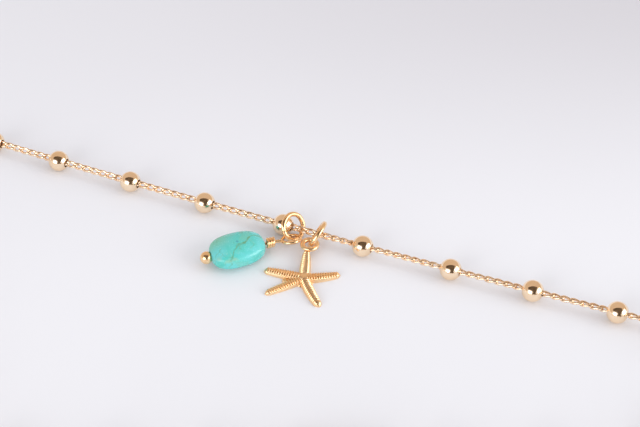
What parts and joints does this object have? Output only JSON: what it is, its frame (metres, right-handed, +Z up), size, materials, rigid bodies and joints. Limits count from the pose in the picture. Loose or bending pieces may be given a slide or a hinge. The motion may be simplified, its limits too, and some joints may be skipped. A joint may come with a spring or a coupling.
{
  "type": "beaded chain charm bracelet",
  "caption": "Fine chain bracelet with polished balls, a barrel clasp and two charms: a drilled oval stone on a headpin and a cast starfish.",
  "frame": {"origin": "middle of the bracelet's bounding box, on the surface that it lies on", "axes": "+Z up from the surface; the charm side of the loop runs roughly along X, with the clasp towards -Y"},
  "size_m": [0.0844, 0.0474, 0.003],
  "materials": {
    "chain_gold": "gold-plated curb links, polished",
    "ball_gold": "mirror-polished gold plate",
    "fitting_gold": "polished gold-plated wire",
    "cast_gold": "gold-plated casting with fine ribs, satin",
    "turquoise": "polished turquoise with brown veins"
  },
  "bodies": {
    "root": {"ball_01": "ball_gold", "ball_02": "ball_gold", "ball_03": "ball_gold", "ball_04": "ball_gold", "ball_05": "ball_gold", "ball_06": "ball_gold", "ball_07": "ball_gold", "ball_08": "ball_gold", "ball_09": "ball_gold", "ball_10": "ball_gold", "ball_11": "ball_gold", "ball_12": "ball_gold", "ball_13": "ball_gold", "ball_14": "ball_gold", "ball_15": "ball_gold", "ball_16": "ball_gold", "ball_17": "ball_gold", "ball_18": "ball_gold", "ball_19": "ball_gold", "ball_20": "ball_gold", "ball_21": "ball_gold", "ball_22": "ball_gold", "chain": "chain_gold", "clasp": "fitting_gold", "headpin": "fitting_gold", "starfish": "cast_gold", "starfish_jump_ring": "fitting_gold", "stone": "turquoise", "stone_jump_ring": "fitting_gold"}
  },
  "joints": []
}
